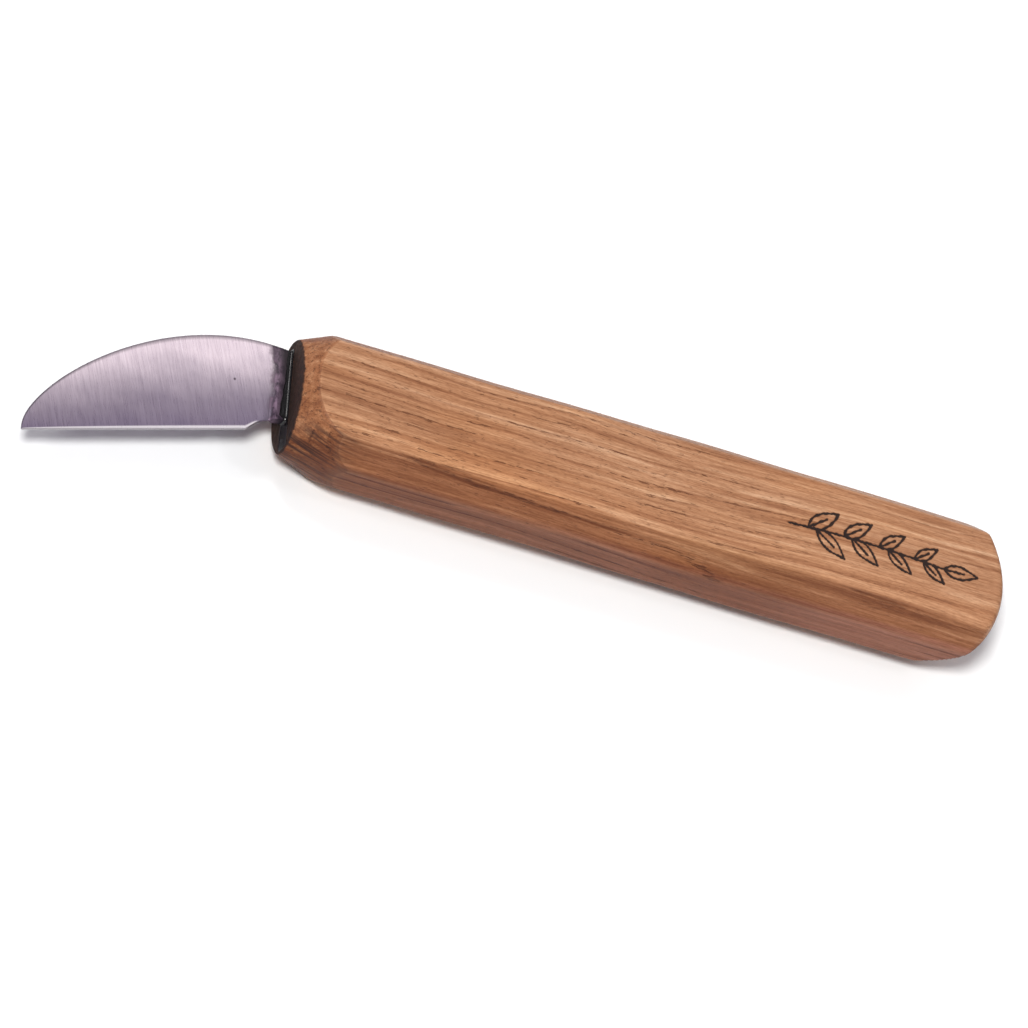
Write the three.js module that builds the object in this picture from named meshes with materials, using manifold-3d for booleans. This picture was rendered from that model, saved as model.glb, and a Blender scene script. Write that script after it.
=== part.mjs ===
// A whittling knife with a short fixed blade.
// The blade and its hidden tang are one piece of forged steel. The tang sits in a mortise cut
// into the front of a faceted oak handle, and hardened black epoxy fills the space around it.
// Millimetres. The knife lies on one wide face of its handle: +Z is up, +X points to the butt
// and the cutting edge faces -Y. The origin is the middle of the wide face that it lies on.
// Inside the group, x = 0 is the handle's front face and y = z = 0 is the handle's axis.

import * as THREE from 'three';
import Module from 'manifold-3d';
import { ConvexGeometry } from 'three/addons/geometries/ConvexGeometry.js';
import { mergeVertices } from 'three/addons/utils/BufferGeometryUtils.js';

const wasm = await Module();
wasm.setup();

// Handle: an octagonal bar, a little wider at the butt.
const HANDLE_LENGTH = 131;
const HANDLE_THICKNESS = 16.8;
const FRONT_WIDTH = 24.2;
const BUTT_WIDTH = 25;
const CHAMFER_WIDTH = 3.4;
const CHAMFER_HEIGHT = 4.9;

// Front of the handle: a flat oval face, and a taper that widens from it to the full bar.
// The oval leans a little: it stands higher on the spine's side by FACE_LEAN of its width.
const FACE_RADIUS_Y = 10.2;
const FACE_RADIUS_Z = 5.85;
const FACE_CENTRE_Y = -0.2;
const FACE_CENTRE_Z = 0.4;
const FACE_LEAN = 0.065;
const TAPER_REACH = 10;
const TAPER_GROWTH_Y = 2.6;
const TAPER_GROWTH_Z = 8.7;
const TAPER_DRIFT_Y = 0.6;
const TAPER_DRIFT_Z = 0.7;

// Butt: an elliptic paraboloid, highest near the upper wide face. The radii are those at its tip.
const BUTT_TIP_Y = -1.2;
const BUTT_TIP_Z = 5;
const BUTT_RADIUS_Y = 16;
const BUTT_RADIUS_Z = 5.5;
const BUTT_DEPTH = 40;

// Blade: a straight edge, canted down from the handle's axis, under a curved spine.
const STOCK_THICKNESS = 2;
const TIP = new THREE.Vector2(-47.1, -20.5);
const HEEL = new THREE.Vector2(-6.9, -8.3);
const SPINE_CONTROL_FRONT = new THREE.Vector2(-48.8, -12.7);
const SPINE_CONTROL_BACK = new THREE.Vector2(-23.3, 11.25);
const NOTCH_CONTROL = new THREE.Vector2(-5.3, -5.2);
const EDGE_THICKNESS = 0.24;
const BEVEL_ANGLE = THREE.MathUtils.degToRad(16);
const BEVEL_THICKNESS = 0.05;
const PLUNGE_X = -2.9;

// Tang: the blade's stock, narrowing evenly to a rounded end.
const TANG_LENGTH = 72;
const TANG_TOP_FRONT = 8.1;
const TANG_TOP_END = 4.2;
const TANG_BOTTOM_FRONT = -4.9;
const TANG_BOTTOM_END = -3.2;

// Mortise: a slot taller than the tang at the handle's face, narrowing to its blind end.
const MORTISE_THICKNESS = 3;
const MORTISE_DEPTH = 76;
const MORTISE_TOP_FRONT = 8.6;
const MORTISE_TOP_END = 5.6;
const MORTISE_BOTTOM_FRONT = -9.9;
const MORTISE_BOTTOM_END = -4.6;

// Epoxy: it stands a little proud of the handle as a bead around the blade.
const GLUE_GAP = 0.1;
const BEAD_HEIGHT = 0.8;
const BEAD_SPREAD = 0.6;

const ARC_SEGMENTS = 16;
const OVAL_SEGMENTS = 72;
const OVERSHOOT = 5;

function toSolid(geometry) {
  const bare = geometry.clone();
  bare.deleteAttribute('normal');
  bare.deleteAttribute('uv');
  const welded = mergeVertices(bare, 1e-5);
  const vertProperties = new Float32Array(welded.attributes.position.array);
  const triVerts = new Uint32Array(welded.index.array);
  return new wasm.Manifold(new wasm.Mesh({ numProp: 3, vertProperties, triVerts }));
}

function toGeometry(solid) {
  const { vertProperties, triVerts } = solid.getMesh();
  const geometry = new THREE.BufferGeometry();
  geometry.setAttribute('position', new THREE.BufferAttribute(vertProperties, 3));
  geometry.setIndex(new THREE.BufferAttribute(triVerts, 1));
  const faceted = geometry.toNonIndexed();
  faceted.computeVertexNormals();
  return faceted;
}

// A flat plate with its outline in the XY plane, centred on z = 0.
function plate(outline, thickness) {
  const settings = { depth: thickness, bevelEnabled: false, curveSegments: ARC_SEGMENTS };
  return toSolid(new THREE.ExtrudeGeometry(outline, settings).translate(0, 0, -thickness / 2));
}

// A convex solid around rings of points, each ring given as [x, outline points in Y and Z].
function hull(rings) {
  const points = rings.flatMap(([x, outline]) => outline.map((p) => new THREE.Vector3(x, p.x, p.y)));
  return toSolid(new ConvexGeometry(points));
}

function octagon(width, height) {
  const y = width / 2;
  const z = height / 2;
  const corners = [[y, z - CHAMFER_HEIGHT], [y - CHAMFER_WIDTH, z]];
  return corners.flatMap(([cy, cz]) => [
    new THREE.Vector2(cy, cz),
    new THREE.Vector2(-cy, cz),
    new THREE.Vector2(cy, -cz),
    new THREE.Vector2(-cy, -cz),
  ]);
}

function oval(centreY, centreZ, radiusY, radiusZ) {
  const upright = new THREE.EllipseCurve(centreY, centreZ, radiusY, radiusZ).getPoints(OVAL_SEGMENTS);
  return upright.map((p) => new THREE.Vector2(p.x, p.y + FACE_LEAN * (p.x - centreY)));
}

// The bar's eight long faces.
function handleBar() {
  return hull([
    [0, octagon(FRONT_WIDTH, HANDLE_THICKNESS)],
    [HANDLE_LENGTH, octagon(BUTT_WIDTH, HANDLE_THICKNESS)],
  ]);
}

// The cone that leaves the taper at the front, drawn on past the butt at its full width.
function frontCone() {
  const face = oval(FACE_CENTRE_Y, FACE_CENTRE_Z, FACE_RADIUS_Y, FACE_RADIUS_Z);
  const wide = oval(
    FACE_CENTRE_Y + TAPER_DRIFT_Y,
    FACE_CENTRE_Z + TAPER_DRIFT_Z,
    FACE_RADIUS_Y + TAPER_GROWTH_Y,
    FACE_RADIUS_Z + TAPER_GROWTH_Z,
  );
  const full = octagon(2 * HANDLE_THICKNESS, 2 * HANDLE_THICKNESS);
  return hull([[0, face], [TAPER_REACH, wide], [3 * TAPER_REACH, full], [2 * HANDLE_LENGTH, full]]);
}

// The paraboloid that rounds the butt, drawn on past the front at its full width.
function buttDome() {
  const rings = 24;
  const rim = Math.sqrt(2 * BUTT_DEPTH);
  const profile = [];
  for (let i = 0; i <= rings; i += 1) {
    const r = (rim * i) / rings;
    profile.push(new THREE.Vector2(r, -r * r / 2));
  }
  const back = -HANDLE_LENGTH - OVERSHOOT;
  profile.push(new THREE.Vector2(rim, back), new THREE.Vector2(0, back));
  const dome = new THREE.LatheGeometry(profile.reverse(), OVAL_SEGMENTS)
    .rotateZ(-Math.PI / 2)
    .scale(1, Math.sqrt(BUTT_RADIUS_Y), Math.sqrt(BUTT_RADIUS_Z))
    .translate(HANDLE_LENGTH, BUTT_TIP_Y, BUTT_TIP_Z);
  return toSolid(dome);
}

// The mortise's outline, drawn in by margin on every side but its open front.
function mortiseOutline(margin) {
  const round = (MORTISE_TOP_END - MORTISE_BOTTOM_END) / 2;
  const middle = (MORTISE_TOP_END + MORTISE_BOTTOM_END) / 2;
  const roundX = MORTISE_DEPTH - round;
  const outline = new THREE.Shape();
  outline.moveTo(0, MORTISE_BOTTOM_FRONT + margin);
  outline.lineTo(roundX, MORTISE_BOTTOM_END + margin);
  outline.absarc(roundX, middle, round - margin, -Math.PI / 2, Math.PI / 2, false);
  outline.lineTo(0, MORTISE_TOP_FRONT - margin);
  outline.closePath();
  return outline;
}

function buildHandle() {
  const mortise = plate(mortiseOutline(0), MORTISE_THICKNESS);
  return handleBar().intersect(frontCone()).intersect(buttDome()).subtract(mortise);
}

// Blade and tang as one flat outline. extra makes the tang larger all round, for the epoxy's hole.
function steelOutline(extra) {
  const round = (TANG_TOP_END - TANG_BOTTOM_END) / 2;
  const middle = (TANG_TOP_END + TANG_BOTTOM_END) / 2;
  const roundX = TANG_LENGTH - round;
  const outline = new THREE.Shape();
  outline.moveTo(0, TANG_TOP_FRONT + extra);
  outline.bezierCurveTo(
    SPINE_CONTROL_BACK.x,
    SPINE_CONTROL_BACK.y + extra,
    SPINE_CONTROL_FRONT.x,
    SPINE_CONTROL_FRONT.y,
    TIP.x,
    TIP.y,
  );
  outline.lineTo(HEEL.x, HEEL.y);
  outline.quadraticCurveTo(NOTCH_CONTROL.x, NOTCH_CONTROL.y - extra, 0, TANG_BOTTOM_FRONT - extra);
  outline.lineTo(roundX, TANG_BOTTOM_END - extra);
  outline.absarc(roundX, middle, round + extra, -Math.PI / 2, Math.PI / 2, false);
  outline.closePath();
  return outline;
}

// Distance of a point from the line of the cutting edge, positive towards the spine.
function aboveEdge(x, y) {
  const along = new THREE.Vector2().subVectors(HEEL, TIP).normalize();
  return (y - TIP.y) * along.x - (x - TIP.x) * along.y;
}

// The steel that a grinder takes off one side: all that lies outside a plane that meets the
// cutting edge at halfThickness and opens by slope towards the spine, up to the plunge line.
function grindCutter(side, halfThickness, slope) {
  const points = [];
  for (const x of [TIP.x - OVERSHOOT, PLUNGE_X]) {
    for (const y of [TIP.y - OVERSHOOT, TANG_TOP_FRONT + OVERSHOOT]) {
      const ground = halfThickness + slope * aboveEdge(x, y);
      points.push(new THREE.Vector3(x, y, side * ground));
      points.push(new THREE.Vector3(x, y, side * (ground + OVERSHOOT)));
    }
  }
  return toSolid(new ConvexGeometry(points));
}

// Greatest height of the spine above the cutting edge, where the grind meets the full stock.
function bladeHeight() {
  const spine = new THREE.CubicBezierCurve(
    new THREE.Vector2(0, TANG_TOP_FRONT),
    SPINE_CONTROL_BACK,
    SPINE_CONTROL_FRONT,
    TIP,
  );
  return Math.max(...spine.getPoints(100).map((p) => aboveEdge(p.x, p.y)));
}

function buildBlade() {
  const flatSlope = (STOCK_THICKNESS - EDGE_THICKNESS) / 2 / bladeHeight();
  const bevelSlope = Math.tan(BEVEL_ANGLE);
  let steel = plate(steelOutline(0), STOCK_THICKNESS);
  for (const side of [1, -1]) {
    steel = steel.subtract(grindCutter(side, EDGE_THICKNESS / 2, flatSlope));
    steel = steel.subtract(grindCutter(side, BEVEL_THICKNESS / 2, bevelSlope));
  }
  return steel;
}

// The bead where epoxy has crept up the blade: widest at the handle, thin at its lip.
function bead() {
  const thickness = MORTISE_THICKNESS / 2 - GLUE_GAP;
  const ring = (spread, halfThickness) => [
    new THREE.Vector2(TANG_TOP_FRONT + spread, halfThickness),
    new THREE.Vector2(TANG_TOP_FRONT + spread, -halfThickness),
    new THREE.Vector2(TANG_BOTTOM_FRONT - BEAD_SPREAD - spread, halfThickness),
    new THREE.Vector2(TANG_BOTTOM_FRONT - BEAD_SPREAD - spread, -halfThickness),
  ];
  const seat = MORTISE_TOP_FRONT - TANG_TOP_FRONT - GLUE_GAP;
  return hull([
    [GLUE_GAP, ring(seat, thickness)],
    [0, ring(seat, thickness)],
    [-BEAD_HEIGHT, ring(2 * GLUE_GAP, STOCK_THICKNESS / 2 + 2 * GLUE_GAP)],
  ]);
}

function buildBedding() {
  const filling = plate(mortiseOutline(GLUE_GAP), MORTISE_THICKNESS - 2 * GLUE_GAP);
  const hole = plate(steelOutline(GLUE_GAP), STOCK_THICKNESS + 2 * GLUE_GAP);
  return filling.add(bead()).subtract(hole);
}

const materials = {
  handle: new THREE.MeshStandardMaterial({ color: 0xb6825f, roughness: 0.6, metalness: 0 }),
  blade: new THREE.MeshStandardMaterial({ color: 0xaaa0a8, roughness: 0.35, metalness: 1 }),
  tang_bedding: new THREE.MeshStandardMaterial({ color: 0x16141a, roughness: 0.25, metalness: 0 }),
};

const solids = {
  handle: buildHandle(),
  blade: buildBlade(),
  tang_bedding: buildBedding(),
};

const knife = new THREE.Group();
knife.position.set(-HANDLE_LENGTH / 2, 0, HANDLE_THICKNESS / 2);
for (const [name, solid] of Object.entries(solids)) {
  const mesh = new THREE.Mesh(toGeometry(solid), materials[name]);
  mesh.name = name;
  knife.add(mesh);
}

export default knife;
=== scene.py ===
# Looks of a whittling knife: an oiled oak handle, a satin steel blade and the black epoxy that holds it.
# Shapes are worked out in millimetres in the handle's own frame, where x = 0 is the handle's front
# face and y = z = 0 is its axis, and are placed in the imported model's frame in metres by place().
import math

import bpy
import numpy as np
from mathutils import Matrix, Vector


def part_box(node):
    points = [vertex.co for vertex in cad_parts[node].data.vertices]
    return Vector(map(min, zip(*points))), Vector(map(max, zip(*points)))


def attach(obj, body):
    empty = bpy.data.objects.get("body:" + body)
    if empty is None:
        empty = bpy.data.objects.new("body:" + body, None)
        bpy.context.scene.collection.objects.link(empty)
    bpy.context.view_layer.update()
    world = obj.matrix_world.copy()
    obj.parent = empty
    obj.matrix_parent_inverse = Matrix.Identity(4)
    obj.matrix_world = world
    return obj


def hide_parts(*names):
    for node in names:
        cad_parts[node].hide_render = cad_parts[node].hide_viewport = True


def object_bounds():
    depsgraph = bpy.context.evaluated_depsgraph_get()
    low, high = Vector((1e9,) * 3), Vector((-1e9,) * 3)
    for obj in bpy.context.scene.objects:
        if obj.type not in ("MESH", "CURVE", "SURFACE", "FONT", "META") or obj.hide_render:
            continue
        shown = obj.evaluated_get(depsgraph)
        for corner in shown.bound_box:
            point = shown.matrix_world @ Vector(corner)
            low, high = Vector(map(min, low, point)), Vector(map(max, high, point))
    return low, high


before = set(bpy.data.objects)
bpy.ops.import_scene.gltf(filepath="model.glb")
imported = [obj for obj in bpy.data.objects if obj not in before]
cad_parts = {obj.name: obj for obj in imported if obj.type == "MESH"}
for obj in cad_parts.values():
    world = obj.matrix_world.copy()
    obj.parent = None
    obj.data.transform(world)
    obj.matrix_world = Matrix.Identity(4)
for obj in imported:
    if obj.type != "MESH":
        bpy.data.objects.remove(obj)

MM = 0.001
TINY = 1e-9     # keeps a division by a direction's zero part from failing
FAR = 99.0      # further off than anything on the knife, in mm
CAD_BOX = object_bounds()

# ------------ sizes taken from the frame

handle_low, handle_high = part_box("handle")
blade_low, blade_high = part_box("blade")
bedding_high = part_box("tang_bedding")[1]

FRONT_X = handle_low.x / MM
AXIS_Z = (handle_low.z + handle_high.z) / 2 / MM
LENGTH = (handle_high.x - handle_low.x) / MM
HALF_THICKNESS = (handle_high.z - handle_low.z) / 2 / MM
HALF_BUTT_WIDTH = handle_high.y / MM
TIP = np.array([blade_low.x / MM - FRONT_X, blade_low.y / MM])
TANG_END = blade_high.x / MM - FRONT_X
HALF_STOCK = (blade_high.z - blade_low.z) / 2 / MM
BEDDING_GAP = 0.1       # between the epoxy and the mortise in the CAD
MORTISE_DEPTH = bedding_high.x / MM - FRONT_X + BEDDING_GAP

# ------------ sizes of the shapes, in mm

# Handle: an octagonal bar that grows by WIDENING on each side from the front to the butt.
WIDENING = 0.4
CHAMFER_WIDTH = 3.4
CHAMFER_HEIGHT = 4.9
EDGE_SOFTNESS = 0.12
WORN_REACH = 0.45
RIM_ROUND = 0.35

# Hand work on the bar: its sides swell in the middle. The side with the cutting edge is a little
# full, most of all at the front, and the other side eases off over the last stretch.
SWELL = 0.12
FULLNESS = 0.16
FRONT_FULLNESS = 0.1
FRONT_FULLNESS_FADE = 24
BUTT_EASE = 0.35
BUTT_EASE_LENGTH = 20

# Unevenness of the faces, as (height, length, phase) of each wave. The wide faces stand back by
# RIPPLE_ROOM, so that their waves stay inside the CAD's thickness.
RIPPLE_ROOM = 0.05
WIDE_RIPPLE = ((0.03, 47, 0.4), (0.02, 19, 2.0))
NARROW_RIPPLE = ((0.03, 61, 1.1), (0.02, 23, 3.0))

# Taper: an oval cone from the front face to the bar. Per mm along the handle its radii in Y and Z
# grow by CONE_GROWTH and its centre moves by CONE_DRIFT; FACE_LEAN slants its wide axis.
FACE_CENTRE = (-0.2, 0.4)
FACE_RADII = (10.2, 5.85)
FACE_LEAN = 0.065
CONE_GROWTH = (0.26, 0.87)
CONE_DRIFT = (0.06, 0.07)
CONE_END = 20
CONE_SOFTNESS = 0.07
TAPER_BORDER = 0.08
FACE_HOLLOW = 0.10
MOUTH_DIP = 0.05
CHAR_RELIEF = 0.03

# Butt: an elliptic paraboloid, with its tip at this Y and Z and these radii there. Its rings fan
# out from a point on the axis, BUTT_FAN before the end.
BUTT_TIP = (-1.2, 5.0)
BUTT_RADII = (16.0, 5.5)
BUTT_SOFTNESS = 0.3
BUTT_FAN = 5.0
BUTT_RINGS = 36

# Mortise: its top and bottom at the front face and where its rounded blind end begins.
MORTISE_HALF_THICKNESS = 1.5
MORTISE_FRONT = (8.6, -9.9)
MORTISE_END = (5.6, -4.6)
MORTISE_MIDDLE = (MORTISE_END[0] + MORTISE_END[1]) / 2
MORTISE_END_ROUND = (MORTISE_END[0] - MORTISE_END[1]) / 2
MORTISE_ROUND_X = MORTISE_DEPTH - MORTISE_END_ROUND
MORTISE_SOFTNESS = 0.1

# Blade: the heel, the Bezier controls of the spine and of the notch, and the grinds.
HEEL = np.array([-6.9, -8.3])
SPINE_ROOT = np.array([0.0, 8.1])
SPINE_CONTROLS = (np.array([-23.3, 11.25]), np.array([-48.8, -12.7]))
NOTCH_ROOT = np.array([0.0, -4.9])
NOTCH_CONTROLS = (np.array([-4.6, -5.0]), np.array([-5.9, -7.8]))
TANG_TOP_END = 4.2
TANG_BOTTOM_END = -3.2
EDGE_HALF_THICKNESS = 0.12
APEX_HALF_THICKNESS = 0.015
BEVEL_WIDTH = 0.26
GRIND_CROWN = 0.14
PLUNGE_X = -2.4
PLUNGE_RAMP = 0.9
SPINE_EASE = 0.15
CORNER_EASE = 0.1
DENSE_TIP = 3       # this much of the edge, by the tip, has its columns ever closer together

# Epoxy: its clearance from the steel and the wood, and its bead on the front face, which reaches
# out along the steel by BEAD_REACH, and by BEAD_DROOP more low down.
CLEARANCE = 0.02
BEDDING_CORNER = 0.6
LIP_LIFT = 0.012
SEAT_LAP = 0.03
BEAD_REACH = 0.9
BEAD_DROOP = 0.6

# Burned mark: a leafy sprig on the upper wide face, near the butt. Its leaves stand in pairs, one
# of each pair LEAF_STAGGER further on, and shrink by LEAF_SHRINK from pair to pair.
SPRIG_START = 89.6
SPRIG_END = 125.2
SPRIG_Y = -0.4
STEM_SWAY = 0.45
LEAF_PAIRS = 4
FIRST_LEAF = 3.8
LEAF_SPACING = 6.7
LEAF_STAGGER = 1.6
LEAF_LENGTH = 6.8
LEAF_WIDTH = 1.3
LEAF_SHRINK = 0.09
LEAF_ANGLE = math.radians(36)
LAST_LEAF_LENGTH = 6.2
LAST_LEAF_WIDTH = 1.2
STROKE = 0.2
BURN_DEPTH = 0.12


# ------------ helpers for meshes

def place(points):
    """Handle-frame millimetres to the model's frame in metres."""
    return (np.asarray(points, float) + (FRONT_X, 0.0, AXIS_Z)) * MM


def between(start, stop, share):
    return start + (stop - start) * share


def soft_min(choices, softness):
    """Smallest of several arrays, with the corners between them rounded."""
    stack = np.stack(np.broadcast_arrays(*choices))
    least = stack.min(0)
    return least - softness * np.log(np.exp((least - stack) / softness).sum(0))


def smooth_step(low, high, value):
    t = np.clip((value - low) / (high - low), 0.0, 1.0)
    return t * t * (3 - 2 * t)


def ripple(value, waves):
    """A gentle unevenness: a sum of sines, each given as (height, length, phase)."""
    return sum(h * np.sin(2 * math.pi * value / length + phase) for h, length, phase in waves)


def spaced(start, stop, step):
    """Points from start up to but not including stop, about one step apart."""
    count = max(1, round(abs(stop - start) / step))
    return list(np.linspace(start, stop, count, endpoint=False))


def closed_skin(name, rings, sharp_degrees, attributes=None):
    """One closed mesh through rings of equally many points, with a point at each end of the tube."""
    rings = [np.asarray(r, float) for r in rings]
    count = len(rings[0])
    points = np.concatenate([*rings, rings[0].mean(0)[None], rings[-1].mean(0)[None]])
    first_pole, last_pole = len(points) - 2, len(points) - 1
    around = np.arange(count)
    after = (around + 1) % count
    quads = []
    for k in range(len(rings) - 1):
        a, b = k * count, (k + 1) * count
        quads.append(np.stack([a + around, a + after, b + after, b + around], 1))
    quads = np.concatenate(quads)
    end = (len(rings) - 1) * count
    caps = [np.stack([after, around, np.full(count, first_pole)], 1),
            np.stack([end + around, end + after, np.full(count, last_pole)], 1)]
    faces = quads.tolist() + np.concatenate(caps).tolist()
    mesh = bpy.data.meshes.new(name)
    mesh.from_pydata(place(points).tolist(), [], faces)
    mesh.update()
    turn_outward(mesh)
    mark_sharp(mesh, sharp_degrees)
    for key, values in (attributes or {}).items():
        flat = np.concatenate([*values, [values[0].mean()], [values[-1].mean()]])
        layer = mesh.attributes.new(key, "FLOAT", "POINT")
        layer.data.foreach_set("value", flat.astype(np.float32))
    piece = bpy.data.objects.new(name, mesh)
    bpy.context.scene.collection.objects.link(piece)
    return piece


def turn_outward(mesh):
    """Flips a closed mesh whose faces point in."""
    mesh.calc_loop_triangles()
    corners = np.empty(len(mesh.loop_triangles) * 3, np.int32)
    mesh.loop_triangles.foreach_get("vertices", corners)
    points = np.empty(len(mesh.vertices) * 3)
    mesh.vertices.foreach_get("co", points)
    a, b, c = points.reshape(-1, 3)[corners.reshape(-1, 3)].transpose(1, 0, 2)
    if (np.cross(a, b) * c).sum() < 0:
        mesh.flip_normals()


def mark_sharp(mesh, degrees):
    """Smooth shading, with an edge kept sharp where its two faces turn by more than degrees."""
    mesh.polygons.foreach_set("use_smooth", np.ones(len(mesh.polygons), bool))
    mesh.set_sharp_from_angle(angle=math.radians(degrees))


# ------------ handle: its outside

def half_width(x, side=0.0):
    """Half of the bar's width at x, on the cutting edge's side (-1), the other (1) or neither (0)."""
    front = HALF_BUTT_WIDTH - WIDENING
    swell = SWELL * (np.sin(math.pi * np.clip(x / LENGTH, 0, 1)) - 1)
    front_fullness = FRONT_FULLNESS * np.exp(-np.maximum(x, 0) / FRONT_FULLNESS_FADE)
    full = (FULLNESS + front_fullness) * (side < 0)
    near_butt = np.clip((x - LENGTH + BUTT_EASE_LENGTH) / BUTT_EASE_LENGTH, 0, 1)
    eased = near_butt ** 2 * (BUTT_EASE + BUTT_EASE * side)
    return front + WIDENING * x / LENGTH + swell + full - eased


def bar_reaches(cx, sy, sz):
    """Distances from (cx, 0, 0) to the bar's wide, narrow and chamfer faces, which run so nearly
    along X that a direction's X part is left out."""
    x = cx + 0 * sy
    wide = HALF_THICKNESS - RIPPLE_ROOM + ripple(x, WIDE_RIPPLE)
    side = np.sign(sy)
    narrow = half_width(x, side) + ripple(x + 9 * side, NARROW_RIPPLE)
    reach_wide = wide / np.maximum(np.abs(sz), TINY)
    reach_narrow = narrow / np.maximum(np.abs(sy), TINY)
    across = math.hypot(CHAMFER_WIDTH, CHAMFER_HEIGHT)
    ny, nz = CHAMFER_HEIGHT / across, CHAMFER_WIDTH / across
    phase = np.where(sy < 0, 0.0, 1.7) + np.where(sz < 0, 0.0, 0.9)
    wander = 0.06 * np.sin(x / 11 + phase * 3) + 0.04 * np.sin(x / 4.3 + phase)
    offset = ny * half_width(x, side) + nz * (HALF_THICKNESS - CHAMFER_HEIGHT) + wander
    reach_chamfer = offset / np.maximum(ny * np.abs(sy) + nz * np.abs(sz), TINY)
    return reach_wide, reach_narrow, reach_chamfer


def cone_reach(x, sy, sz):
    """Distance from the axis to the front taper at x, across the axis."""
    cy = FACE_CENTRE[0] + CONE_DRIFT[0] * x
    cz = FACE_CENTRE[1] + CONE_DRIFT[1] * x
    ry = FACE_RADII[0] + CONE_GROWTH[0] * x
    rz = FACE_RADII[1] + CONE_GROWTH[1] * x
    sz, cz = sz - FACE_LEAN * sy, cz - FACE_LEAN * cy
    a = (sy / ry) ** 2 + (sz / rz) ** 2
    b = -2 * (sy * cy / ry ** 2 + sz * cz / rz ** 2)
    c = (cy / ry) ** 2 + (cz / rz) ** 2 - 1
    return (-b + np.sqrt(b * b - 4 * a * c)) / (2 * a)


def butt_reach(cx, sx, sy, sz):
    """Distance from (cx, 0, 0) along (sx, sy, sz) to the butt's paraboloid."""
    (tip_y, tip_z), (radius_y, radius_z) = BUTT_TIP, BUTT_RADII
    a = sy ** 2 / (2 * radius_y) + sz ** 2 / (2 * radius_z)
    b = sx - tip_y * sy / radius_y - tip_z * sz / radius_z
    c = cx - LENGTH + tip_y ** 2 / (2 * radius_y) + tip_z ** 2 / (2 * radius_z)
    root = np.sqrt(np.maximum(b * b - 4 * a * c, 0))
    return 2 * -c / (b + root)


def surface_reach(cx, sx, sy, sz):
    """Distance to the handle's outside, how near each point is to an edge between two faces, and
    how much of it is the front taper."""
    bar = bar_reaches(cx, sy, sz)
    butt = butt_reach(cx, sx, sy, sz)
    by_cone = np.all(sx == 0) and cx < CONE_END
    cone = cone_reach(cx, sy, sz) if by_cone else np.full_like(sy, FAR)
    reach = soft_min([soft_min(bar, EDGE_SOFTNESS), cone], CONE_SOFTNESS)
    reach = soft_min([reach, butt], BUTT_SOFTNESS)
    faces = np.stack([*bar, cone, butt])
    beyond = faces.min(0) - faces
    broad = np.exp(beyond / WORN_REACH)
    crisp = np.exp(beyond / TAPER_BORDER)
    return reach, 1 - broad.max(0) / broad.sum(0), crisp[3] / crisp.sum(0)


def perimeter_directions():
    """Points round the bar's section: close together at its edges and where the mark is burned."""
    w, t = HALF_BUTT_WIDTH - WIDENING / 2, HALF_THICKNESS
    top_y, side_z = w - CHAMFER_WIDTH, t - CHAMFER_HEIGHT
    by_edge = 0.7
    half_mark = 4.9
    plain = top_y - by_edge - half_mark
    outline = []
    y = top_y
    for length, step in ((by_edge, 0.15), (plain, 0.5), (2 * half_mark, 0.155), (plain, 0.5),
                         (by_edge, 0.15)):
        outline += [np.array([y - along, t]) for along in spaced(0, length, step)]
        y -= length

    # The other seven faces, finer on the first three, which are on the cutting edge's side.
    chamfer = math.hypot(CHAMFER_WIDTH, CHAMFER_HEIGHT)
    corners = np.array([(-top_y, t), (-w, side_z), (-w, -side_z), (-top_y, -t),
                        (top_y, -t), (w, -side_z), (w, side_z), (top_y, t)])
    lengths = (chamfer, 2 * side_z, chamfer, 2 * top_y, chamfer, 2 * side_z, chamfer)
    for k, length in enumerate(lengths):
        start, stop = corners[k], corners[k + 1]
        fine = (0.17 if k < 3 else 0.2) / length
        ends = by_edge / length
        shares = spaced(0, ends, fine) + spaced(ends, 1 - ends, 0.55 / length)
        shares += spaced(1 - ends, 1, fine)
        outline += [between(start, stop, share) for share in shares]
    return np.array(outline)


# ------------ handle: its mortise

def mortise_span(x):
    """The mortise's top and bottom at x."""
    if x > MORTISE_ROUND_X:
        half = math.sqrt(max(MORTISE_END_ROUND ** 2 - (x - MORTISE_ROUND_X) ** 2, 0.0))
        return MORTISE_MIDDLE + half, MORTISE_MIDDLE - half
    share = x / MORTISE_ROUND_X
    return (between(MORTISE_FRONT[0], MORTISE_END[0], share),
            between(MORTISE_FRONT[1], MORTISE_END[1], share))


def slot_reach(sy, sz, top, bottom):
    """Distance from the axis to the mortise's wall, across the axis."""
    side = MORTISE_HALF_THICKNESS / np.maximum(np.abs(sz), TINY)
    end = np.where(sy > 0, top, -bottom) / np.maximum(np.abs(sy), TINY)
    return soft_min([side, end], MORTISE_SOFTNESS)


# ------------ handle: its burned mark

def leaf(base, angle, length, width):
    """A pointed leaf: the lines of its two sides and of its middle vein."""
    t = np.linspace(0, 1, 15)
    along = length * t
    bulge = width * np.sin(math.pi * t ** 0.8)
    c, s = math.cos(angle), math.sin(angle)
    lines = []
    for side in (1, -1):
        y = side * bulge
        lines.append(np.stack([base[0] + along * c - y * s, base[1] + along * s + y * c], 1))
    lines.append(np.array([[base[0] + f * length * c, base[1] + f * length * s] for f in (0.05, 0.6)]))
    return lines


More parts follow.
